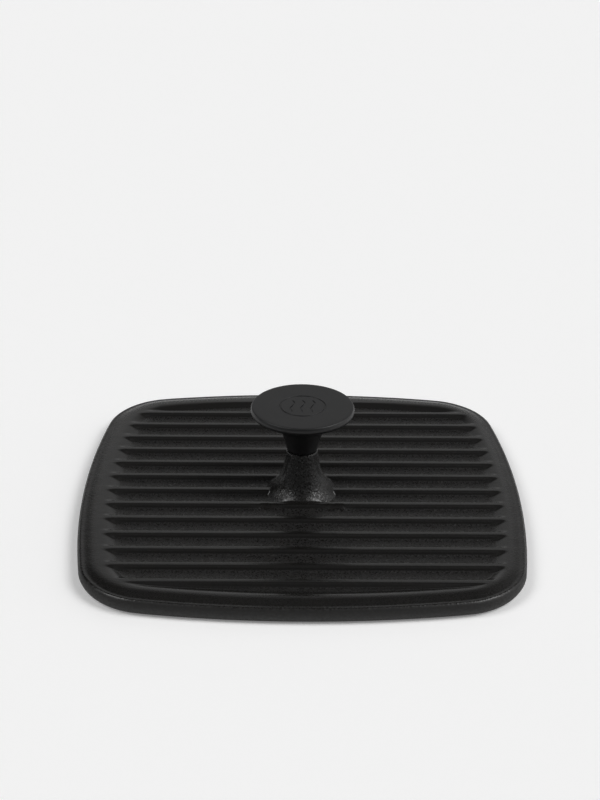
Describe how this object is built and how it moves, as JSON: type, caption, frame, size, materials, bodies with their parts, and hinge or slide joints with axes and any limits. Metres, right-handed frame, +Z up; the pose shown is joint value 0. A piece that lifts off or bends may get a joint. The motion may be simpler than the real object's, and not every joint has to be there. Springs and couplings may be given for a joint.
{
  "type": "grill press",
  "caption": "Square cast-iron grill press: a ribbed plate with bowed sides and a waisted central boss, topped by a screw-on mushroom knob for pressing food flat in a pan.",
  "frame": {"origin": "centre of the pressing face, on the surface that the press rests on", "axes": "+Z up through the boss and the knob, +X along the ribs, +Y across the ribs towards the back"},
  "size_m": [0.22, 0.22, 0.0548],
  "materials": {
    "seasoned_cast_iron": "sand-cast, black, satin, smooth on ridges and rim and rough in the grooves",
    "knob_black": "compression-moulded phenolic, smooth satin black",
    "zinc_steel": "bright zinc-plated rolled thread",
    "spring_steel": "phosphated dark grey spring steel",
    "insert_brass": "turned and knurled"
  },
  "bodies": {
    "plate": {"press_plate": "seasoned_cast_iron"},
    "washer": {"lock_washer": "spring_steel"},
    "knob": {"knob_body": "knob_black", "knob_insert": "insert_brass", "threaded_stud": "zinc_steel"}
  },
  "joints": [
    {"name": "knob_rise", "type": "slide", "parent": "plate", "child": "washer", "axis": [0, 0, 1], "range_m": [0, 0.012]},
    {"name": "knob_turn", "type": "hinge", "parent": "washer", "child": "knob", "pos_m": [0, 0, 0.0313], "axis": [0, 0, 1], "range_deg": [0, 4320]}
  ],
  "couplings": [
    {"joint": "knob_rise", "follows": "knob_turn", "m_per_rad": 0.00015915}
  ]
}
